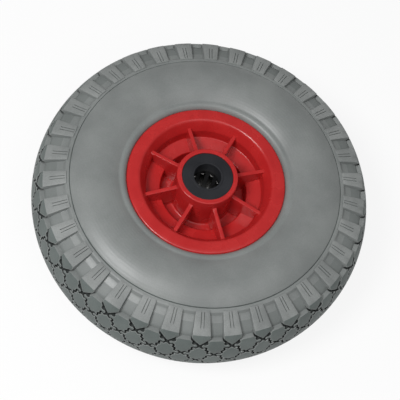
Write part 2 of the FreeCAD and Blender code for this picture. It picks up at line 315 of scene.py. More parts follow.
class NodeBoard:
    """A material's node tree, with short calls to add and join nodes.

    Attributes:
        material: The material.
        tree: Its node tree.
        shader: Its one shader.
        place: Object coordinates.
    """

    def __init__(self, name: str) -> None:
        """Starts an empty material with one shader and its output.

        Args:
            name: Name of the material.
        """
        self.material = bpy.data.materials.new(name)
        self.material.use_nodes = True
        self.tree = self.material.node_tree
        self.tree.nodes.clear()
        output = self.tree.nodes.new("ShaderNodeOutputMaterial")
        self.shader = self.tree.nodes.new("ShaderNodeBsdfPrincipled")
        self.join(self.shader.outputs[0], output.inputs["Surface"])
        self.place = self.tree.nodes.new("ShaderNodeTexCoord").outputs["Object"]

    def join(self, source: Socket, target: Socket) -> None:
        """Links two sockets."""
        self.tree.links.new(source, target)

    def noise(self, grain: float, detail: float, vector: Socket | None = None) -> Socket:
        """Adds a noise.

        Args:
            grain: Size of its grains in millimetres.
            detail: How many finer layers it has.
            vector: Coordinates, where they aren't the object's own.

        Returns:
            The noise.
        """
        node = self.tree.nodes.new("ShaderNodeTexNoise")
        node.inputs["Scale"].default_value = 1 / (grain * MM)
        node.inputs["Detail"].default_value = detail
        self.join(vector or self.place, node.inputs["Vector"])
        return node.outputs["Fac"]

    def stretch(self, scale: Place) -> Socket:
        """Scales the object's coordinates.

        Args:
            scale: A factor for each axis.

        Returns:
            The scaled coordinates.
        """
        node = self.tree.nodes.new("ShaderNodeMapping")
        node.inputs["Scale"].default_value = scale
        self.join(self.place, node.inputs["Vector"])
        return node.outputs["Vector"]

    def radius(self) -> Socket:
        """Measures the distance from the axle.

        Returns:
            The distance in metres.
        """
        flat = self.stretch((1, 1, 0))
        node = self.tree.nodes.new("ShaderNodeVectorMath")
        node.operation = "LENGTH"
        self.join(flat, node.inputs[0])
        return node.outputs["Value"]

    def reckon(self, operation: str, first: Socket, second: Socket | float = 0.0) -> Socket:
        """Adds one step of arithmetic.

        Args:
            operation: The step, as the Math node names it.
            first: The first value.
            second: The second value, a socket or a number.

        Returns:
            The result.
        """
        node = self.tree.nodes.new("ShaderNodeMath")
        node.operation = operation
        self.join(first, node.inputs[0])
        if isinstance(second, (int, float)):
            node.inputs[1].default_value = second
        else:
            self.join(second, node.inputs[1])
        return node.outputs[0]

    def spread(
        self, source: Socket, low: float, high: float, start: float = 0.3, end: float = 0.7
    ) -> Socket:
        """Maps one range onto another.

        Args:
            source: The value to map.
            low: What the range's start becomes.
            high: What the range's end becomes.
            start: Start of the source's range.
            end: End of the source's range.

        Returns:
            The mapped value.
        """
        node = self.tree.nodes.new("ShaderNodeMapRange")
        node.inputs["From Min"].default_value = start
        node.inputs["From Max"].default_value = end
        node.inputs["To Min"].default_value = low
        node.inputs["To Max"].default_value = high
        self.join(source, node.inputs["Value"])
        return node.outputs["Result"]

    def blend(self, share: Socket, first: Colour, second: Colour) -> Socket:
        """Mixes two colours.

        Args:
            share: How much of the second colour there is.
            first: Colour where the share is 0.
            second: Colour where the share is 1.

        Returns:
            The mixed colour.
        """
        node = self.tree.nodes.new("ShaderNodeMix")
        node.data_type = "RGBA"
        node.inputs["A"].default_value = (*first, 1)
        node.inputs["B"].default_value = (*second, 1)
        self.join(share, node.inputs["Factor"])
        return node.outputs["Result"]

    def bump(
        self, height: Socket, depth: float, strength: float, over: Socket | None = None
    ) -> Socket:
        """Adds a bump.

        Args:
            height: Where the surface is high.
            depth: Depth of the bump in millimetres.
            strength: Strength of the bump.
            over: The bump that this one lies on, if there is one.

        Returns:
            The bumped normal.
        """
        node = self.tree.nodes.new("ShaderNodeBump")
        node.inputs["Distance"].default_value = depth * MM
        node.inputs["Strength"].default_value = strength
        self.join(height, node.inputs["Height"])
        if over is not None:
            self.join(over, node.inputs["Normal"])
        return node.outputs["Normal"]

    def set(self, socket: str, value: float) -> None:
        """Sets a constant on the shader's own socket."""
        self.shader.inputs[socket].default_value = value

    def feed(self, socket: str, source: Socket) -> None:
        """Links a socket into the shader."""
        self.join(source, self.shader.inputs[socket])


@dataclass(frozen=True)
class FoamFinish:
    """Moulded foam: dull grey, faintly mottled, with the mould's fine texture.

    Attributes:
        name: Material name.
        light: Colour of the paler patches.
        dark: Colour of the darker patches.
        roughness: Mean roughness.
        grit: Depth of the fine texture in millimetres.
        grain: Size of the fine texture's grains in millimetres.
        rings: Depth of the mould's turning marks in millimetres.
        ring_pitch: Way from one turning mark to the next in millimetres.
        ring_sway: How far the marks stray, as a phase.
        cloud: Size of the mottling in millimetres.
        cloud_share: The mottling's share in the colour, beside the fine texture's.
        swell: Size of the surface's slow waves in millimetres.
        swell_depth: Their depth in millimetres.
        patchiness: How far the roughness strays from its mean.
    """

    name: str
    light: Colour
    dark: Colour
    roughness: float
    grit: float
    grain: float
    rings: float = 0.0
    ring_pitch: float = 2.2
    ring_sway: float = 9.0
    cloud: float = 28.0
    cloud_share: float = 0.65
    swell: float = 9.0
    swell_depth: float = 0.12
    patchiness: float = 0.05

    def make(self) -> bpy.types.Material:
        """Builds the material.

        Returns:
            The material.
        """
        board = NodeBoard(self.name)
        cloudy = board.noise(self.cloud, 3)
        fine = board.noise(self.grain, 4)
        shade = board.reckon(
            "ADD",
            board.reckon("MULTIPLY", cloudy, self.cloud_share),
            board.reckon("MULTIPLY", fine, 1 - self.cloud_share),
        )
        mottling = board.spread(shade, 0, 1, 0.38, 0.62)
        board.feed("Base Color", board.blend(mottling, self.dark, self.light))
        low, high = self.roughness - self.patchiness, self.roughness + self.patchiness
        board.feed("Roughness", board.spread(fine, low, high))
        board.set("Specular IOR Level", 0.5)
        normal = board.bump(fine, self.grit, 0.8)
        if self.rings:
            phase = board.reckon("MULTIPLY", board.radius(), FULL_TURN / (self.ring_pitch * MM))
            sway = board.reckon("MULTIPLY", cloudy, self.ring_sway)
            wave = board.reckon("SINE", board.reckon("ADD", phase, sway))
            normal = board.bump(wave, self.rings, 0.5, normal)
        waves = board.noise(self.swell, 2)
        board.feed("Normal", board.bump(waves, self.swell_depth, 0.35, normal))
        return board.material


@dataclass(frozen=True)
class PlasticFinish:
    """Injection-moulded plastic with a little orange peel and uneven gloss.

    Attributes:
        name: Material name.
        light: Colour where the surface is rubbed.
        deep: Colour elsewhere.
        roughness: Mean roughness.
        peel: Depth of the orange peel in millimetres.
        gloss: Specular level.
        patch: Size of the rubbed patches in millimetres.
        patchiness: How far the roughness strays from its mean.
    """

    name: str
    light: Colour
    deep: Colour
    roughness: float
    peel: float
    gloss: float
    patch: float = 14.0
    patchiness: float = 0.06

    def make(self) -> bpy.types.Material:
        """Builds the material.

        Returns:
            The material.
        """
        board = NodeBoard(self.name)
        rubbed = board.noise(self.patch, 3)
        fine = board.noise(0.6, 3)
        board.feed("Base Color", board.blend(board.spread(rubbed, 0, 1), self.deep, self.light))
        low, high = self.roughness - self.patchiness, self.roughness + self.patchiness
        board.feed("Roughness", board.spread(rubbed, low, high))
        board.set("Specular IOR Level", self.gloss)
        normal = board.bump(board.noise(2.4, 2), self.peel, 0.6)
        board.feed("Normal", board.bump(fine, self.peel * 0.25, 0.5, normal))
        return board.material


@dataclass(frozen=True)
class SteelFinish:
    """Ground bearing steel, its grinding marks running round each roller.

    Attributes:
        name: Material name.
        colour: Colour of the steel.
        roughness: Mean roughness.
    """

    name: str
    colour: Colour
    roughness: float

    def make(self) -> bpy.types.Material:
        """Builds the material.

        Returns:
            The material.
        """
        board = NodeBoard(self.name)
        marks = board.noise(0.5, 3, board.stretch((0.06, 0.06, 1)))
        worn = tuple(part * 0.8 for part in self.colour)
        patches = board.spread(board.noise(5, 2), 0, 1)
        board.feed("Base Color", board.blend(patches, worn, self.colour))
        board.feed("Roughness", board.spread(marks, self.roughness * 0.8, self.roughness * 1.3))
        board.set("Metallic", 1.0)
        board.feed("Normal", board.bump(marks, 0.01, 0.5))
        return board.material


@dataclass(frozen=True)
class Shades:
    """The wheel's finishes.

    Attributes:
        skin: The tyre's smooth sides.
        lug: The lugs' tops, dull with the mould's grain.
        crown: The tread blocks; the same colour paints shade into the lugs' fine cuts and along
            the fine line.
        groove_shade: Painted shade for the grooves between them: a near-black colour where they
            lie deep in shadow.
        channel: Painted shade for the channels between the lugs: a darker grey than the sides.
        rim: The red moulded rim.
        cap: The hub caps.
        cage: The rollers' cage: black plastic, darkened further as painted shade for the dark
            bore.
        roller: The rollers, their steel darkened below its own colour as painted shade for the
            dark bore.
    """

    skin: FoamFinish = FoamFinish(
        "tyre_skin", (0.232, 0.246, 0.240), (0.186, 0.199, 0.195), 0.38, 0.05, 0.9, 0.02
    )
    lug: FoamFinish = FoamFinish(
        "tyre_lug_face", (0.275, 0.288, 0.282), (0.190, 0.202, 0.198), 0.66, 0.2, 0.8
    )
    # Also painted shade: this darker colour fills the lugs' fine cuts and the fine line's crease.
    crown: FoamFinish = FoamFinish(
        "tyre_crown_and_crease_shade", (0.132, 0.155, 0.148), (0.088, 0.106, 0.101), 0.62, 0.1, 0.8
    )
    # Painted shade: near-black colour that stands in for the shadow deep in the grooves.
    groove_shade: FoamFinish = FoamFinish(
        "tyre_groove_painted_shade", (0.034, 0.040, 0.038), (0.020, 0.025, 0.024), 0.8, 0.1, 0.8
    )
    # Painted shade: a darker grey for the recessed channels between the lugs.
    channel: FoamFinish = FoamFinish(
        "tyre_channel_painted_shade", (0.188, 0.203, 0.198), (0.150, 0.164, 0.159), 0.55, 0.06, 0.8
    )
    rim: PlasticFinish = PlasticFinish(
        "rim_red", (0.50, 0.022, 0.022), (0.44, 0.016, 0.017), 0.25, 0.03, 0.42
    )
    cap: PlasticFinish = PlasticFinish(
        "cap_black", (0.026, 0.027, 0.031), (0.018, 0.019, 0.022), 0.5, 0.02, 0.16
    )
    # Painted shade: black plastic made blacker still so that the bore looks dark.
    cage: PlasticFinish = PlasticFinish(
        "cage_black_and_bore_shade", (0.008, 0.008, 0.009), (0.004, 0.004, 0.005), 0.5, 0.02, 0.12
    )
    # Painted shade: the steel is darkened so that the rollers stay dim in the dark bore.
    roller: SteelFinish = SteelFinish("roller_steel_and_bore_shade", (0.2, 0.195, 0.19), 0.22)


@dataclass(frozen=True)
class TreadFace:
    """Outer face of the tread in section.

    It has a round crown, a rounded shoulder and the lug's flat top.

    Attributes:
        crown: Radius of the wheel.
        bend: Radius of the crown across the tread.
        shoulder: Height of the shoulder's edge.
        shoulder_round: Radius that rounds that edge.
        ridge: Radius and height where the lug meets the side.
    """

    crown: float
    bend: float = 60.5
    shoulder: float = 31.0
    shoulder_round: float = 0.9
    ridge: Point = (104.2, 35.1)

    def along(self, height: float) -> float:
        """Way along the crown from the middle plane to a height."""
        return self.bend * math.asin(height / self.bend)

    @property
    def bend_centre(self) -> Vector:
        """Centre of the crown's bend, on the middle plane."""
        return Vector((self.crown - self.bend, 0))

    @property
    def edge(self) -> Point:
        """The shoulder's edge before it is rounded."""
        turn = self.along(self.shoulder) / self.bend
        return self.bend_centre.x + self.bend * math.cos(turn), self.shoulder

    @property
    def top_way(self) -> Vector:
        """The lug's top from the shoulder's edge to the ridge."""
        return Vector(self.ridge) - Vector(self.edge)

    @property
    def top_start(self) -> float:
        """Way along the face to the shoulder's edge."""
        return self.along(self.shoulder)

    @property
    def end(self) -> float:
        """Way along the face to the ridge."""
        return self.top_start + self.top_way.length

    def at(self, way: float) -> tuple[Vector, Vector]:
        """Place and outward direction at a way along the face.

        Args:
            way: Distance from the middle plane along the face.

        Returns:
            The (radius, height) of the place, and the outward direction there.
        """
        turn = way / self.bend
        crown_out = Vector((math.cos(turn), math.sin(turn)))
        top_out = Vector((-self.top_way.y, self.top_way.x)).normalized()
        if top_out.y < 0:
            top_out.negate()
        corner, down = Vector(self.edge), self.top_way.normalized()
        reach = self.shoulder_round
        share = min(max((way - self.top_start) / (2 * reach) + 0.5, 0), 1)
        if share <= 0:
            return self.bend_centre + crown_out * self.bend, crown_out
        if share >= 1:
            return corner + down * (way - self.top_start), top_out
        turn = (self.top_start - reach) / self.bend
        start = self.bend_centre + Vector((math.cos(turn), math.sin(turn))) * self.bend
        finish = corner + down * reach
        place = start.lerp(corner, share).lerp(corner.lerp(finish, share), share)
        return place, crown_out.lerp(top_out, share).normalized()


@dataclass(frozen=True)
class BlockPlan:
    """One tread block seen square on.

    Its points are (way round the crown, way along the face), in millimetres.

    Attributes:
        loop: The block's outline, anticlockwise.
        slots: Outlines of the fine cuts in its face.
        zone_split: Faces past this way along the face are lug tops.
    """

    loop: list[Point]
    slots: list[list[Point]] = field(default_factory=list)
    zone_split: float = math.inf


@dataclass
class TyrePiece:
    """The foam tyre: a smooth carcass with lugs and blocks raised on it.

    Attributes:
        skin: Material of the sides and of the blocks' walls.
        lug: Material of the lugs' tops.
        crown: Material of the tread blocks, also painted shade in the lugs' fine cuts and along
            the fine line.
        groove_shade: Near-black material for the grooves between them: painted shade.
        channel: Material of the channels between the lugs, darker than the sides: painted shade.
        outer_radius: Radius over the tread.
        half_width: Half the width over the sides.
        lug_count: Lugs on each side.
        turn: Angle of the first lug from +X, in degrees.
        row: Height from one row of groove crossings to the next.
        block_end: Height at which the block between two lugs is cut off.
        block_end_half: Half the width of that cut.
        corner_gap: Way from a crossing to each block's corner.
        lug_inner_half: Half a lug's width at the ridge.
        lug_outer_half: Half a lug's width at the shoulder.
        groove_depth: Depth of the grooves below the face.
        root_depth: How far the blocks reach below the face, into the carcass.
        edge_round: Round of the blocks' top edges.
        corner_round: Round of the blocks' corners.
        draft: How much the blocks widen towards their roots, per millimetre.
        bite_half: Half the width of the bites beside a side corner.
        bite_depth: Depth of those bites.
        bite_reach: Way from the corner to the bite.
        ear_half: Half the width of the ears beside an end corner.
        ear_height: Height of those ears.
        line_radius: Radius of the fine line round the side.
        line_shade_half: Half the width of the painted shade along the fine line.
        groove_radius: Outside this radius the carcass takes the grooves' painted shade.
        channel_radius: From there in to this radius the carcass takes the channels' painted shade.
        slot_half: Half the width of the fine cuts in a lug.
        slot_apart: Way from the lug's middle to each cut.
        slot_depth: Depth of the cuts.
        grid: Longest edge of the faces that follow the crown.
        segments: Steps round the axle.
        sharp: Edges that turn by more than this many degrees stay sharp.
    """

    skin: bpy.types.Material
    lug: bpy.types.Material
    crown: bpy.types.Material
    groove_shade: bpy.types.Material
    channel: bpy.types.Material
    outer_radius: float
    half_width: float
    lug_count: int = 34
    turn: float = 0.99
    row: float = 10.63
    block_end: float = 26.9
    block_end_half: float = 4.3
    corner_gap: float = 1.3
    lug_inner_half: float = 6.3
    lug_outer_half: float = 7.0
    groove_depth: float = 3.4
    root_depth: float = 6.0
    edge_round: float = 0.35
    corner_round: float = 0.9
    draft: float = 0.12
    bite_half: float = 1.95
    bite_depth: float = 1.9
    bite_reach: float = 4.2
    ear_half: float = 1.05
    ear_height: float = 2.1
    line_radius: float = 102.0
    line_shade_half: float = 0.3
    groove_radius: float = 121.0
    channel_radius: float = 108.8
    slot_half: float = 0.22
    slot_apart: float = 1.25
    slot_depth: float = 0.9
    grid: float = 3.4
    segments: int = 170
    sharp: float = 38.0

    @property
    def face(self) -> TreadFace:
        """The tread's outer face."""
        return TreadFace(self.outer_radius)

    @property
    def half_pitch(self) -> float:
        """Half the way round the crown from one lug to the next."""
        return math.pi * self.outer_radius / self.lug_count

    def bitten(self, corners: list[Point], bites: list[int], ears: list[int]) -> list[Point]:
        """Cuts round bites beside some corners and adds small ears beside others.

        Args:
            corners: The outline's corners, anticlockwise.
            bites: Numbers of the corners with a bite on each side.
            ears: Numbers of the corners with an ear on each side, for a neighbour's bite.

        Returns:
            The outline with its corners rounded, its bites cut and its ears added.
        """
        points: list[Point] = []
        count, chords = len(corners), 6
        for i, corner in enumerate(corners):
            j = (i + 1) % count
            points.extend(corner_round(corner, corners[i - 1], corners[j], self.corner_round, 2))
            here, edge = Vector(corner), Vector(corners[j]) - Vector(corner)
            way = edge.normalized()
            inward = Vector((-way.y, way.x))
            for number, place in ((i, self.bite_reach), (j, edge.length - self.bite_reach)):
                if number in bites:
                    reach, depth = self.bite_half, self.bite_depth
                elif number in ears:
                    reach, depth = self.ear_half, -self.ear_height
                else:
                    continue
                for k in range(chords + 1):
                    angle = math.pi * k / chords
                    along = way * (place - math.cos(angle) * reach)
                    swing = here + along + inward * math.sin(angle) * depth
                    points.append((swing.x, swing.y))
        return points

    def row_way(self, row: int) -> float:
        """Way along the face to a row of groove crossings, counted from the middle plane."""
        return self.face.along(self.row * row)

    def diamond_plan(self, row: int) -> BlockPlan:
        """Plans a four-cornered block.

        Args:
            row: The row of crossings that its side corners lie on, 0 for the middle plane.

        Returns:
            The plan.
        """
        wide = self.half_pitch - self.corner_gap
        middle = self.row_way(row)
        low = (self.row_way(row - 1) if row else -self.row_way(1)) + self.corner_gap
        high = self.row_way(row + 1) - self.corner_gap
        corners = [(wide, middle), (0.0, high), (-wide, middle), (0.0, low)]
        return BlockPlan(self.bitten(corners, [0, 2], [1, 3]))

    def side_block_plan(self) -> BlockPlan:
        """Plans the block between two lugs, which is cut square at the channel.

        Returns:
            The plan.
        """
        wide = self.half_pitch - self.corner_gap
        middle, end = self.row_way(2), self.face.along(self.block_end)
        low = self.row_way(1) + self.corner_gap
        half = self.block_end_half
        corners = [(0.0, low), (wide, middle), (half, end), (-half, end), (-wide, middle)]
        return BlockPlan(self.bitten(corners, [1, 4], [0]))

    def lug_plan(self) -> BlockPlan:
        """Plans a lug, from its point on the crown over the shoulder and down the side.

        Returns:
            The plan, with the fine cuts in the lug's top.
        """
        face = self.face
        inner_round, slot_start, slot_rest = 0.6, 0.3, 0.9
        row, end = self.row_way(2), face.along(self.block_end)
        point = row + self.corner_gap
        slope = (end - row) / (self.half_pitch - self.corner_gap - self.block_end_half)
        shoulder = point + slope * self.lug_outer_half
        outer, inner = self.lug_outer_half, self.lug_inner_half
        corners = [
            (0.0, point, self.corner_round),
            (outer, shoulder, self.corner_round),
            (outer, face.top_start, 0.0),
            (inner, face.end, inner_round),
            (-inner, face.end, inner_round),
            (-outer, face.top_start, 0.0),
            (-outer, shoulder, self.corner_round),
        ]
        start = face.top_start + face.top_way.length * slot_start
        finish = face.end - slot_rest
        slots = []
        for aside in (-self.slot_apart, self.slot_apart):
            low, high = aside - self.slot_half, aside + self.slot_half
            slots.append([(low, start), (high, start), (high, finish), (low, finish)])
        return BlockPlan(rounded(corners, True, 3), slots, face.top_start)

    def finely(self, loop: list[Point]) -> list[Point]:
        """Divides a loop's long edges, so that they follow the crown.

        Args:
            loop: The loop's points.

        Returns:
            The points with new ones between them.
        """
        points: list[Point] = []
        for i, here in enumerate(loop):
            after = loop[(i + 1) % len(loop)]
            steps = max(1, math.ceil(math.dist(here, after) / self.grid))
            for k in range(steps):
                share = k / steps
                across = here[0] + (after[0] - here[0]) * share
                points.append((across, here[1] + (after[1] - here[1]) * share))
        return points

    def to_space(
        self, points: list[Point], depth: float, side: Side, turn: float
    ) -> list[Place]:
        """Puts face points on the wheel, sunk by a depth.

        Args:
            points: Places as (way round the crown, way along the face).
            depth: How far below the face they lie.
            side: Which half of the tread they belong to.
            turn: Angle of the block's centre.

        Returns:
            Places in space in millimetres.
        """
        out = []
        for aside, way in points:
            place, outward = self.face.at(abs(way))
            mirror = side.value if way >= 0 else -side.value
            radius = place.x - outward.x * depth
            height = (place.y - outward.y * depth) * mirror
            angle = turn + aside / self.outer_radius
            out.append((radius * math.cos(angle), radius * math.sin(angle), height))
        return out

    def face_mesh(
        self, loop: list[Point], slots: list[list[Point]], crease: float
    ) -> tuple[list[Point], list[list[int]]]:
        """Triangles over a block's face, left open at its slots.

        Args:
            loop: The face's outline.
            slots: Outlines of the cuts.
            crease: Way along the face at which an edge runs across it.

        Returns:
            Points, the outline's first and then the slots', and triangles.
        """
        points = list(loop)
        edges = []
        crease_steps, clear_share = 5, 0.45
        for slot in slots:
            base = len(points)
            points.extend(slot)
            edges.extend((base + i, base + (i + 1) % len(slot)) for i in range(len(slot)))
        if crease < math.inf:
            ends = sorted(range(len(loop)), key=lambda i: abs(loop[i][1] - crease))[:2]
            left, right = sorted(ends, key=lambda i: loop[i][0])
            base = len(points)
            for k in range(1, crease_steps):
                spot = Vector(loop[left]).lerp(Vector(loop[right]), k / crease_steps)
                points.append((spot.x, spot.y))
            chain = [left, *range(base, len(points)), right]
            edges.extend(zip(chain, chain[1:]))
        rims = list(points)
        lows = [min(p[k] for p in loop) for k in (0, 1)]
        highs = [max(p[k] for p in loop) for k in (0, 1)]
        for row in range(1, int((highs[1] - lows[1]) / self.grid) + 1):
            for column in range(1, int((highs[0] - lows[0]) / self.grid) + 1):
                shift = 0.5 * self.grid if row % 2 else 0.0
                spot = (lows[0] + column * self.grid - shift, lows[1] + row * self.grid)
                if inside(spot, loop) and gap_to(spot, rims) > self.grid * clear_share:
                    points.append(spot)
        flat = [Vector(p) for p in points]
        border = [list(range(len(loop)))]
        made, _, faces, origins, _, _ = delaunay_2d_cdt(flat, edges, border, 1, 1e-6)
        numbers = [origin[0] for origin in origins]
        triangles = []
        for corners in faces:
            middle = (sum(made[c].x for c in corners) / 3, sum(made[c].y for c in corners) / 3)
            if not any(inside(middle, slot) for slot in slots):
                triangles.append([numbers[c] for c in corners])
        return points, triangles

    def raise_block(
        self, sheet: MeshSheet, plan: BlockPlan, side: Side, turns: list[float]
    ) -> None:
        """Adds copies of a block round the wheel.

        Args:
            sheet: The mesh to add to.
            plan: The block's plan.
            side: Which half of the tread it stands on.
            turns: The angle of each copy.
        """
        outline = self.finely(plan.loop)
        top = grown(outline, -self.edge_round)
        slots = [self.finely(slot) for slot in plan.slots]
        points, triangles = self.face_mesh(top, slots, plan.zone_split)
        upper_edge = self.edge_round * 0.3
        levels = (
            (grown(outline, self.draft * self.root_depth), self.root_depth),
            (outline, self.edge_round),
            (grown(outline, -upper_edge), upper_edge),
        )
        flip = side is Side.BACK
        wall_margin, slot_draft = 0.5, 0.05
        split = self.face.along(self.block_end) - wall_margin
        for turn in turns:
            face = sheet.add_vertices(self.to_space(points, 0.0, side, turn))
            for corners in triangles:
                middle = sum(points[c][1] for c in corners) / 3
                zone = TyreZone.LUG_FACE if middle > plan.zone_split else TyreZone.CROWN_AND_CREASE_SHADE
                sheet.add_face([face[c] for c in corners], zone.value, flip)
            rings = [
                sheet.add_vertices(self.to_space(loop, deep, side, turn)) for loop, deep in levels
            ]
            rings.append(face[: len(top)])
            for level, (lower, upper) in enumerate(zip(rings, rings[1:])):
                for i in range(len(lower)):
                    j = (i + 1) % len(lower)
                    # Painted shade: on the crown the blocks' lower walls take the grooves'
                    # near-black colour.
                    on_crown = level == 0 and abs(outline[i][1]) < split
                    zone = TyreZone.GROOVE_SHADE if on_crown else TyreZone.SKIN
                    sheet.add_face([lower[i], lower[j], upper[j], upper[i]], zone.value, flip)
            base = len(top)
            for slot in slots:
                rim = face[base : base + len(slot)]
                foot = self.to_space(grown(slot, -slot_draft), self.slot_depth, side, turn)
                floor = sheet.add_vertices(foot)
                # Painted shade: the cuts' walls and floors take the darker crown colour.
                sheet.bridge(rim, floor, TyreZone.CROWN_AND_CREASE_SHADE.value, flip)
                sheet.add_face(floor, TyreZone.CROWN_AND_CREASE_SHADE.value, flip)
                base += len(slot)

    def zone_at(self, radius: float) -> TyreZone:
        """Chooses the carcass's colour: painted shade in the grooves, the channels and the fine
        line.

        Args:
            radius: Radius of the place.

        Returns:
            The finish there.
        """
        # Painted shade: the floor between the blocks on the crown is near black.
        if radius > self.groove_radius:
            return TyreZone.GROOVE_SHADE
        # Painted shade: the channel floors between the lugs are darker than the sides.
        if radius > self.channel_radius:
            return TyreZone.CHANNEL_SHADE
        # Painted shade: the fine line's crease takes the darker crown colour.
        on_line = abs(radius - self.line_radius) < self.line_shade_half
        return TyreZone.CROWN_AND_CREASE_SHADE if on_line else TyreZone.SKIN

    def carcass_half(self) -> tuple[list[Point], list[int]]:
        """Draws the carcass above the middle plane, from the crown to the rim.

        Returns:
            The section's points, and the finish of the band after each.
        """
        deep = self.groove_depth
        face = self.face
        past_row, floor_steps = 2.0, 8
        floor = []
        for i in range(floor_steps + 1):
            way = face.along(self.row * 2 + past_row) * i / floor_steps
            place, outward = face.at(way)
            floor.append((place.x - outward.x * deep, place.y - outward.y * deep))
        channel = [
            (120.2, self.block_end - 0.5),
            (118.6, 27.7),
            (115.0, 29.0),
            (111.5, 30.2),
            (108.6, 31.1),
            (107.2, 31.8),
        ]
        line = self.line_radius
        ledge = rounded(
            [
                (107.2, 31.8, 0.0),
                (106.6, 32.1, 0.8),
                (105.1, 34.1, 0.8),
                (104.0, 34.35, 0.4),
                (line + 0.28, 34.6, 0.1),
                (line + 0.1, 34.05, 0.05),
                (line - 0.1, 34.05, 0.05),
                (line - 0.3, 35.1, 0.2),
                (100.4, 35.75, 0.0),
            ],
            False,
            3,
        )[1:]
        top = (83.5, self.half_width)
        roll = (65.5, self.half_width - 5.2)
        outer = leaving_arc(top, ledge[-1], False, 12)[::-1][1:]
        inner = leaving_arc(top, roll, False, 12)[1:]
        bead = leaving_arc((60.15, 30.3), roll, True, 10)[::-1][1:]
        tail = [(60.0, 28.0), (58.0, 26.0)]
        half = floor + channel + ledge + outer + inner + bead + tail
        return half, [self.zone_at(radius).value for radius, _ in half]

    def build(self) -> bpy.types.Object:
        """Builds the tyre in place of its plain solid.

        Returns:
            The tyre.
        """
        sheet = MeshSheet()
        half, zones = self.carcass_half()
        section = [(r, -z) for r, z in half[:0:-1]] + half
        sheet.revolve(section[::-1], self.segments, (zones[:0:-1] + zones)[::-1], False)
        pitch = FULL_TURN / self.lug_count
        first = math.radians(self.turn)
        lined = [first + i * pitch for i in range(self.lug_count)]
        between = [angle + pitch / 2 for angle in lined]
        self.raise_block(sheet, self.diamond_plan(0), Side.FRONT, between)
        for side in Side:
            self.raise_block(sheet, self.diamond_plan(1), side, lined)
            self.raise_block(sheet, self.side_block_plan(), side, between)
            self.raise_block(sheet, self.lug_plan(), side, lined)
        materials = [self.skin, self.lug, self.crown, self.groove_shade, self.channel]
        piece = sheet.to_object("foam_tyre", materials, self.sharp)
        return settle(piece, "wheel", ["tyre"])


@dataclass
class RimPiece:
    """The red moulded rim: hub tube, web, stepped barrel, rounded lips and eight ribs a side.

    Attributes:
        plastic: Material of the rim.
        half_length: Half the hub's length.
        rib_count: Ribs on each side.
        rib_half: Half a rib's thickness.
        rib_draft: How much wider each face of a rib is at its foot.
        rib_foot: Height at which a rib starts, inside the web.
        rib_round: Round of a rib's top edges.
        rib_hub_height: Height of a rib's top at the hub.
        rib_barrel_height: Height of a rib's top at the barrel.
        rib_flare: How much a rib rises where it runs into the hub.
        hub_radius: Radius of the hub tube.
        barrel_radius: Radius of the barrel's inner face.
        seat_radius: Radius of the seat that the hub cap fits in.
        seat_depth: Depth of that seat.
        bore_radius: Radius of the bore that the rollers run in.
        segments: Steps round the axle.
        sharp: Edges that turn by more than this many degrees stay sharp.
    """

    plastic: bpy.types.Material
    half_length: float
    rib_count: int = 8
    rib_half: float = 1.45
    rib_draft: float = 0.25
    rib_foot: float = 2.0
    rib_round: float = 0.5
    rib_hub_height: float = 28.8
    rib_barrel_height: float = 26.8
    rib_flare: float = 0.8
    hub_radius: float = 23.0
    barrel_radius: float = 45.0
    seat_radius: float = 19.4
    seat_depth: float = 3.2
    bore_radius: float = 15.05
    segments: int = 160
    sharp: float = 40.0

    def half_section(self) -> list[Place]:
        """Draws the section above the middle plane.

        Returns:
            Its corners as (radius, height, round).
        """
        face, hub = self.half_length, self.hub_radius
        seat = face - self.seat_depth
        return [
            (36.5, 10.5, 0.0),
            (48.1, 10.5, 0.0),
            (49.7, 26.3, 0.0),
            (60.1, 28.1, 0.6),
            (60.2, 32.1, 2.8),
            (57.0, 32.4, 1.2),
            (50.4, 32.6, 3.2),
            (45.3, 24.0, 3.0),
            (44.7, 15.9, 1.0),
            (33.3, 13.8, 1.2),
            (32.8, 3.5, 1.6),
            (hub + 0.8, 3.5, 1.6),
            (hub, face, 1.1),
            (self.seat_radius, face, 0.25),
            (self.seat_radius, seat, 0.0),
            (self.bore_radius, seat, 0.0),
        ]

    def add_rib(self, sheet: MeshSheet, angle: float, side: Side) -> None:
        """Adds one rib, a thin wall whose ends and foot are buried in the rim.

        Args:
            sheet: The mesh to add to.
            angle: The rib's angle from +X.
            side: The face of the wheel that it is on.
        """
        steps, flare_steps = 12, 1.6
        hub_bury, barrel_bury = 1.2, 2.4
        lift, swell = 0.8, 0.35
        start = self.hub_radius - hub_bury
        reach = self.barrel_radius + barrel_bury - start
        rise = self.rib_barrel_height - self.rib_hub_height
        foot_half = self.rib_half + self.rib_draft
        loops = []
        for i in range(steps + 1):
            share = i / steps
            radius = start + reach * share
            flare = self.rib_flare * max(0.0, 1 - i / flare_steps)
            top = self.rib_hub_height + rise * share + flare * lift
            outline = rounded(
                [
                    (-foot_half, self.rib_foot, 0.0),
                    (-self.rib_half, top, self.rib_round),
                    (self.rib_half, top, self.rib_round),
                    (foot_half, self.rib_foot, 0.0),
                ],
                False,
            )
            spots = []
            for aside, height in outline:
                wide = aside * (1 + flare * swell)
                along = radius * math.cos(angle) - wide * math.sin(angle)
                across = radius * math.sin(angle) + wide * math.cos(angle)
                spots.append((along, across, height * side.value))
            loops.append(sheet.add_vertices(spots))
        flip = side is Side.FRONT
        for here, there in zip(loops, loops[1:]):
            for k in range(len(here) - 1):
                sheet.add_face([here[k], there[k], there[k + 1], here[k + 1]], 0, flip)

    def build(self) -> bpy.types.Object:
        """Builds the rim in place of its plain solid.

        Returns:
            The rim.
        """
        sheet = MeshSheet()
        half = self.half_section()
        corners = [(r, -z, rounding) for r, z, rounding in half[::-1]] + half
        section = rounded(corners, True, 5)
        sheet.revolve(section, self.segments, [0] * len(section), True)
        for side in Side:
            for i in range(self.rib_count):
                self.add_rib(sheet, FULL_TURN * i / self.rib_count, side)
        piece = sheet.to_object("moulded_rim", [self.plastic], self.sharp)
        return settle(piece, "wheel", ["rim"])


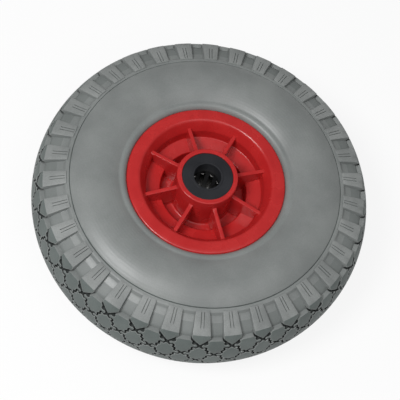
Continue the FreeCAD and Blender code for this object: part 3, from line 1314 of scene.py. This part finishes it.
@dataclass
class CapPiece:
    """A hub cap: a flush plate with a raised lip round its bore.

    Attributes:
        plastic: Material of the cap.
        side: The face of the wheel that it closes.
        node: The plain solid that it stands for.
        face: Height of the hub's end.
        bore_radius: Radius of the axle's bore.
        spigot_radius: Radius of the spigot that keeps the cage in place.
        spigot_depth: How far the spigot reaches in from the hub's end.
        plate_radius: Radius of the plate.
        plate_depth: How far the plate reaches in.
        lip_height: How far the lip round the bore stands above the plate.
        segments: Steps round the axle.
        sharp: Edges that turn by more than this many degrees stay sharp.
    """

    plastic: bpy.types.Material
    side: Side
    node: str
    face: float
    bore_radius: float = 10.2
    spigot_radius: float = 14.95
    spigot_depth: float = 12.1
    plate_radius: float = 19.3
    plate_depth: float = 3.2
    lip_height: float = 0.5
    segments: int = 128
    sharp: float = 42.0

    def build(self) -> bpy.types.Object:
        """Builds the cap in place of its plain solid.

        Returns:
            The cap.
        """
        face = self.face
        end, seat, top = face - self.spigot_depth, face - self.plate_depth, face - self.lip_height
        corners = [
            (self.bore_radius, end, 0.4),
            (self.spigot_radius, end, 0.4),
            (self.spigot_radius, seat, 0.0),
            (self.plate_radius, seat, 0.2),
            (self.plate_radius, top, 0.5),
            (self.bore_radius + 1.7, top, 0.3),
            (self.bore_radius + 1.3, face, 0.35),
            (self.bore_radius, face, 0.45),
        ]
        section = [(r, z * self.side.value) for r, z in rounded(corners, True)]
        if self.side is Side.BACK:
            section.reverse()
        sheet = MeshSheet()
        sheet.revolve(section, self.segments, [0] * len(section), True)
        piece = sheet.to_object(f"hub_{self.node}", [self.plastic], self.sharp)
        return settle(piece, "wheel", [self.node])


@dataclass
class RollerPiece:
    """One steel roller with chamfered, slightly domed ends.

    Attributes:
        steel: Material of the roller.
        node: The plain solid that it stands for, and the body that it rides on.
        chamfer: Width of the chamfer round each end.
        dome: Height of each end's dome.
        segments: Steps round the roller's own axis.
        sharp: Edges that turn by more than this many degrees stay sharp.
    """

    steel: bpy.types.Material
    node: str
    chamfer: float = 0.35
    dome: float = 0.12
    segments: int = 40
    sharp: float = 40.0

    def build(self) -> bpy.types.Object:
        """Builds the roller in place of its plain solid.

        Returns:
            The roller.
        """
        low, high = (Vector(corner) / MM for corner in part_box(self.node))
        radius, top = (high.x - low.x) / 2, high.z
        chamfer, edge = self.chamfer, top - self.dome
        half = [
            (radius, 0.0),
            (radius, edge - chamfer),
            (radius - chamfer * 0.3, edge - chamfer * 0.3),
            (radius - chamfer, edge),
            (radius * 0.5, top - self.dome * 0.3),
            (0.01, top),
        ]
        section = half[::-1] + [(r, -z) for r, z in half[1:]]
        sheet = MeshSheet()
        sheet.revolve(section[::-1], self.segments, [0] * len(section), False)
        middle = ((low + high) / 2) * MM
        sheet.vertices = [
            (x + middle.x, y + middle.y, z + middle.z) for x, y, z in sheet.vertices
        ]
        piece = sheet.to_object(f"steel_{self.node}", [self.steel], self.sharp)
        return settle(piece, self.node, [self.node])


def settle(piece: bpy.types.Object, body: str, nodes: list[str]) -> bpy.types.Object:
    """Seats a piece on its body in place of its plain solids.

    Args:
        piece: The piece.
        body: The body that it moves with.
        nodes: The solids that it stands for.

    Returns:
        The piece.
    """
    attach(piece, body)
    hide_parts(*nodes)
    LOG.info("%s rides on %s, %d faces", piece.name, body, len(piece.data.polygons))
    return piece


@dataclass(frozen=True)
class Softbox:
    """An area lamp that looks at the wheel.

    Attributes:
        name: Name of the lamp.
        azimuth: Direction from the wheel, in degrees from +X.
        elevation: Height above the floor, in degrees.
        distance: Distance from the wheel in metres.
        size: Width and depth in metres.
        power: Power in watts.
    """

    name: str
    azimuth: float
    elevation: float
    distance: float
    size: tuple[float, float]
    power: float

    def hang(self) -> None:
        """Hangs the lamp, which looks straight at the wheel's middle."""
        lamp = bpy.data.lights.new(self.name, "AREA")
        lamp.shape = "RECTANGLE"
        lamp.size, lamp.size_y = self.size
        lamp.energy = self.power
        holder = bpy.data.objects.new(self.name, lamp)
        turn, tilt = math.radians(self.azimuth), math.radians(self.elevation)
        flat = math.cos(tilt)
        way = Vector((math.cos(turn) * flat, math.sin(turn) * flat, math.sin(tilt)))
        holder.location = way * self.distance
        holder.rotation_euler = way.to_track_quat("Z", "Y").to_euler()
        bpy.context.scene.collection.objects.link(holder)


@dataclass
class Studio:
    """White floor, soft lamps and a camera at the photograph's angle.

    Attributes:
        floor_height: Height that the wheel lies on, in millimetres.
        camera_place: Where the camera stands, in millimetres.
        camera_right: Direction of the picture's right edge.
        camera_down: Direction of the picture's lower edge.
        focal_pixels: Focal length in pixels of the picture.
        picture_pixels: Width of the picture in pixels.
        lamps: The lamps.
        sky: Strength of the even light from all round.
        floor_white: Shade of the floor.
        floor_reach: Half the floor's width in metres.
        floor_glow: How much of the floor that the camera sees is plain white.
    """

    floor_height: float
    camera_place: Place = (71.3, -323.2, 671.8)
    camera_right: Place = (0.8644, 0.4830, 0.1398)
    camera_down: Place = (0.4939, -0.7634, -0.4163)
    focal_pixels: float = 962.0
    picture_pixels: float = 400.0
    lamps: tuple[Softbox, ...] = (
        Softbox("key_softbox", 235, 58, 1.1, (0.32, 0.32), 6.6),
        Softbox("fill_softbox", 300, 70, 1.3, (1.2, 1.0), 5.2),
    )
    sky: float = 0.27
    floor_white: float = 0.93
    floor_reach: float = 6.0
    floor_glow: float = 0.86

    def add_camera(self) -> None:
        """Stands the camera where the photograph was taken."""
        right = Vector(self.camera_right).normalized()
        up = -Vector(self.camera_down)
        up = (up - right * up.dot(right)).normalized()
        back = right.cross(up)
        pose = Matrix((right, up, back)).transposed().to_4x4()
        pose.translation = Vector(self.camera_place) * MM
        lens = bpy.data.cameras.new("camera")
        lens.sensor_width = 36.0
        lens.lens = self.focal_pixels / self.picture_pixels * lens.sensor_width
        lens.clip_end = 20.0
        camera = bpy.data.objects.new("camera", lens)
        camera.matrix_world = pose
        bpy.context.scene.collection.objects.link(camera)
        bpy.context.scene.camera = camera

    def add_floor(self) -> None:
        """Lays the white floor, which glows a little to the camera and keeps the shadow."""
        material = bpy.data.materials.new("studio_floor")
        material.use_nodes = True
        tree = material.node_tree
        tree.nodes.clear()
        output = tree.nodes.new("ShaderNodeOutputMaterial")
        matt = tree.nodes.new("ShaderNodeBsdfDiffuse")
        matt.inputs["Color"].default_value = (*(self.floor_white,) * 3, 1)
        glow = tree.nodes.new("ShaderNodeEmission")
        rays = tree.nodes.new("ShaderNodeLightPath")
        seen = tree.nodes.new("ShaderNodeMath")
        seen.operation = "MAXIMUM"
        share = tree.nodes.new("ShaderNodeMath")
        share.operation = "MULTIPLY"
        share.inputs[1].default_value = self.floor_glow
        mix = tree.nodes.new("ShaderNodeMixShader")
        tree.links.new(rays.outputs["Is Camera Ray"], seen.inputs[0])
        tree.links.new(rays.outputs["Is Glossy Ray"], seen.inputs[1])
        tree.links.new(seen.outputs[0], share.inputs[0])
        tree.links.new(share.outputs[0], mix.inputs["Fac"])
        tree.links.new(matt.outputs[0], mix.inputs[1])
        tree.links.new(glow.outputs[0], mix.inputs[2])
        tree.links.new(mix.outputs[0], output.inputs["Surface"])
        mesh = bpy.data.meshes.new("studio_floor")
        reach, height = self.floor_reach, self.floor_height * MM
        signs = ((-1, -1), (1, -1), (1, 1), (-1, 1))
        corners = [(x * reach, y * reach, height) for x, y in signs]
        mesh.from_pydata(corners, [], [(0, 1, 2, 3)])
        mesh.materials.append(material)
        floor = bpy.data.objects.new("studio_floor", mesh)
        bpy.context.scene.collection.objects.link(floor)

    def add_sky(self) -> None:
        """Surrounds the scene with even light, which the camera sees as white."""
        world = bpy.data.worlds.new("studio_sky")
        world.use_nodes = True
        tree = world.node_tree
        tree.nodes.clear()
        output = tree.nodes.new("ShaderNodeOutputWorld")
        light = tree.nodes.new("ShaderNodeBackground")
        light.inputs["Strength"].default_value = self.sky
        white = tree.nodes.new("ShaderNodeBackground")
        rays = tree.nodes.new("ShaderNodeLightPath")
        mix = tree.nodes.new("ShaderNodeMixShader")
        for background in (light, white):
            background.inputs["Color"].default_value = (1, 1, 1, 1)
        tree.links.new(rays.outputs["Is Camera Ray"], mix.inputs["Fac"])
        tree.links.new(light.outputs[0], mix.inputs[1])
        tree.links.new(white.outputs[0], mix.inputs[2])
        tree.links.new(mix.outputs[0], output.inputs["Surface"])
        bpy.context.scene.world = world

    def build(self) -> None:
        """Sets the studio up."""
        self.add_camera()
        self.add_floor()
        self.add_sky()
        for lamp in self.lamps:
            lamp.hang()
        bpy.context.scene.view_settings.view_transform = "Standard"


def main() -> None:
    """Builds the wheel's pieces in order, dresses the cage's solid and lights the scene."""
    logging.basicConfig(level=logging.INFO, format="%(message)s")
    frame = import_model()
    shades = Shades()
    cap, steel = shades.cap.make(), shades.roller.make()
    hub_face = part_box("rim")[1].z / MM
    tyre = TyrePiece(
        skin=shades.skin.make(),
        lug=shades.lug.make(),
        crown=shades.crown.make(),
        groove_shade=shades.groove_shade.make(),
        channel=shades.channel.make(),
        outer_radius=130.0,
        half_width=40.0,
    )
    tyre.build()
    RimPiece(shades.rim.make(), hub_face).build()
    CapPiece(cap, Side.FRONT, "bearing_cap_front", hub_face).build()
    CapPiece(cap, Side.BACK, "bearing_cap_back", hub_face).build()
    for name in sorted(frame["nodes"]):
        if name.startswith("roller_") and name != "roller_cage":
            RollerPiece(steel, name).build()
    cage = frame["nodes"]["roller_cage"]
    cage.data.materials.clear()
    cage.data.materials.append(shades.cage.make())
    LOG.info("%s keeps its solid, %d faces", cage.name, len(cage.data.polygons))
    Studio(-tyre.half_width).build()


if __name__ == "__main__":
    main()
